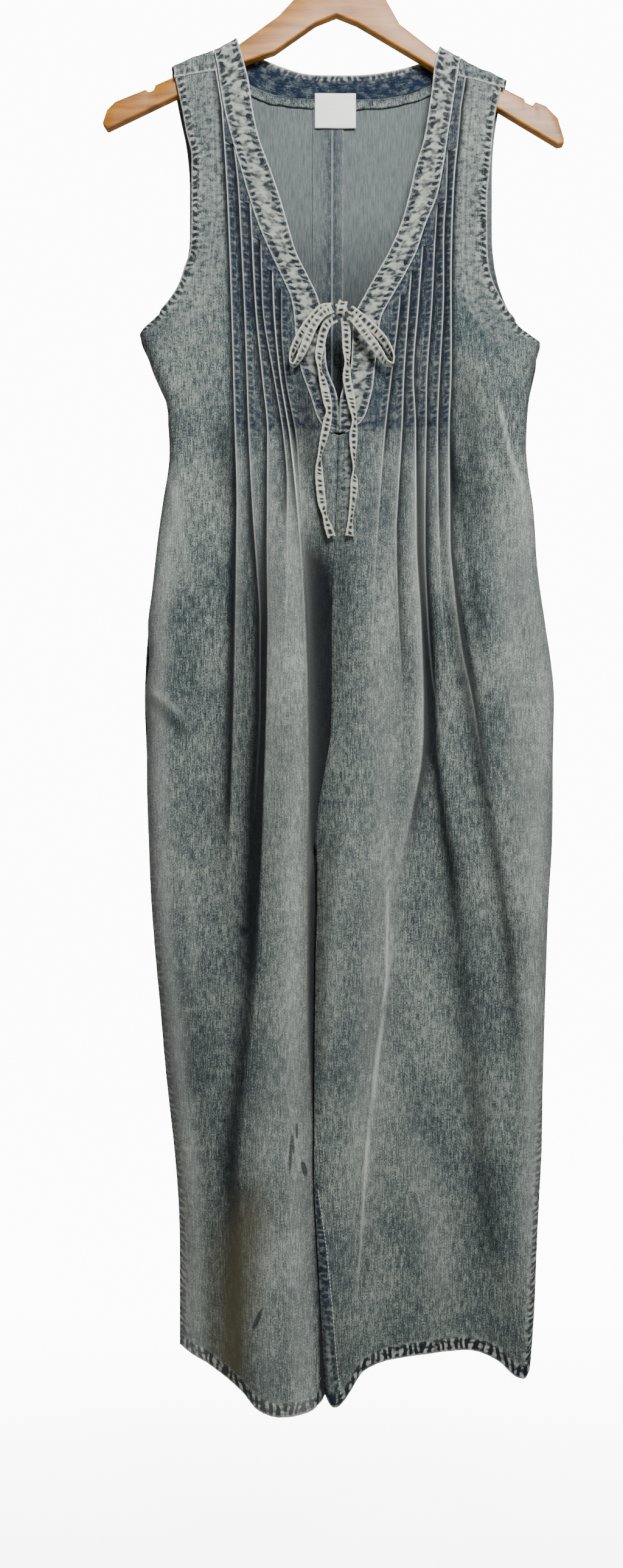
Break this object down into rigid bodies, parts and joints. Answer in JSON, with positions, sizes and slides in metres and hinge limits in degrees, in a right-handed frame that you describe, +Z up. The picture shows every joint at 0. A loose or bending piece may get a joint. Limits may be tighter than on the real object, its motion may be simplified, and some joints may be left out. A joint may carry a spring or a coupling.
{
  "type": "denim jumpsuit on a hanger",
  "caption": "Sleeveless wide-leg denim jumpsuit with pintucked front, V neck band and keyhole tie, hung flat on a plain wooden hanger.",
  "frame": {"origin": "the point inside the top of the hanger's hook that bears on a rail", "axes": "+Z up, -Y towards the viewer of the garment's front, +X to that viewer's right"},
  "size_m": [0.446, 0.1165, 1.4389],
  "materials": {
    "washed_denim": "stone-washed slub denim, grey-blue",
    "band_denim": "doubled denim with bleached edges",
    "overlock": "overlocked raw edge",
    "label": "plain woven satin label",
    "tie_denim": "folded denim tape, abraded edges",
    "wood": "clear varnished beech",
    "steel": "bright plated wire"
  },
  "bodies": {
    "root": {"front_left": "washed_denim", "front_right": "washed_denim", "back_left": "washed_denim", "back_right": "washed_denim", "shoulder_left": "washed_denim", "shoulder_right": "washed_denim", "neck_band_left": "band_denim", "neck_band_right": "band_denim", "neck_band_back": "band_denim", "back_neck_allowance": "overlock", "neck_label": "label", "tie_knot": "tie_denim", "tie_lead_left": "tie_denim", "tie_lead_right": "tie_denim", "tie_loop_left": "tie_denim", "tie_loop_right": "tie_denim", "tie_tail_left": "tie_denim", "tie_tail_right": "tie_denim", "hanger_body": "wood", "hanger_hook": "steel"}
  },
  "joints": []
}
